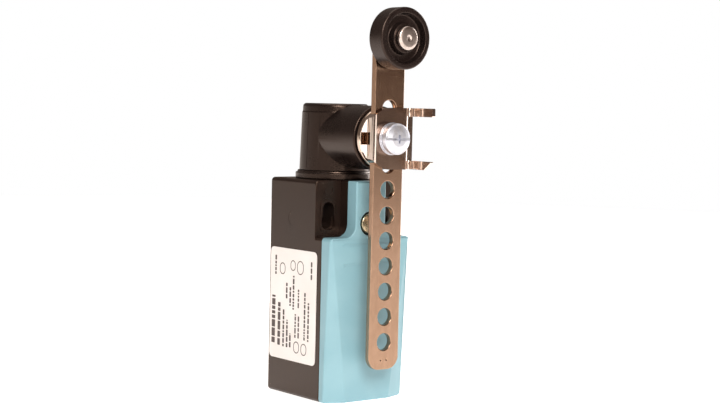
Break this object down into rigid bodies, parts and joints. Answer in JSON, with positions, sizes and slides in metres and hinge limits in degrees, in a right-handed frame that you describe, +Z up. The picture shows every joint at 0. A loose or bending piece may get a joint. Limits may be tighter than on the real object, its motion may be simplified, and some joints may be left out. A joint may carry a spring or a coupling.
{
  "type": "limit switch",
  "caption": "Narrow limit switch with a round twist head, a pierced bar lever held by a clamp, and a plastic roller on the lever's end.",
  "frame": {"origin": "on the flat back face, midway between the two fixing slots", "axes": "+X across the switch, -Y out of its front (the shaft's direction), +Z up towards the head"},
  "size_m": [0.0313, 0.0503, 0.1227],
  "materials": {
    "black_enamel": "satin, fine grained enamel on die casting",
    "teal_plastic": "satin moulded",
    "black_plastic": "satin moulded",
    "seal_rubber": "matt",
    "brass": "turned",
    "white_label": "satin printed film",
    "spring_steel": "ground",
    "grey_plastic": "moulded",
    "contact_silver": "bright",
    "zinc_plate": "bright blue zinc plate",
    "bright_chrome": "polished",
    "nickel_plate": "satin nickel plate, warm tone",
    "turned_steel": "turned rings",
    "roller_plastic": "satin moulded",
    "red_plastic": "moulded"
  },
  "bodies": {
    "enclosure": {"housing": "black_enamel", "front_cover": "teal_plastic", "cover_gasket": "seal_rubber", "cover_screw": "brass", "cover_screw_ring": "seal_rubber", "rating_label": "white_label", "head_flange": "black_plastic", "flange_o_ring": "seal_rubber", "head_housing": "black_plastic", "shaft_bush": "brass", "shaft_seal": "seal_rubber", "return_spring": "spring_steel", "contact_block": "grey_plastic", "fixed_contact_nc_left": "contact_silver", "terminal_screw_nc_left": "zinc_plate", "fixed_contact_nc_right": "contact_silver", "terminal_screw_nc_right": "zinc_plate", "fixed_contact_no_left": "contact_silver", "terminal_screw_no_left": "zinc_plate", "fixed_contact_no_right": "contact_silver", "terminal_screw_no_right": "zinc_plate", "contact_spring": "spring_steel", "earth_clamp": "brass", "earth_screw": "zinc_plate"},
    "lever": {"actuator_shaft": "spring_steel", "shaft_circlip": "spring_steel", "hub_disc": "bright_chrome", "clamp_bracket": "nickel_plate", "lever_bar": "nickel_plate", "spring_washer": "zinc_plate", "clamp_screw": "zinc_plate", "roller_pin": "turned_steel", "roller_spacer": "turned_steel"},
    "roller": {"roller": "roller_plastic"},
    "plunger": {"plunger": "red_plastic", "contact_carrier": "red_plastic", "contact_bridge": "contact_silver"}
  },
  "joints": [
    {"name": "lever_swing", "type": "hinge", "parent": "enclosure", "child": "lever", "pos_m": [0, -0.036, 0.0246], "axis": [0, -1, 0], "range_deg": [-75, 75], "stiffness_Nm_per_rad": 0.12},
    {"name": "roller_spin", "type": "hinge", "parent": "lever", "child": "roller", "pos_m": [0, -0.0449, 0.0552], "axis": [0, -1, 0], "continuous": true},
    {"name": "plunger_slide", "type": "slide", "parent": "enclosure", "child": "plunger", "axis": [0, 0, 1], "range_m": [-0.003, 0], "stiffness_N_per_m": 250, "springref_m": 0.002, "deforming": ["contact_spring"]}
  ]
}
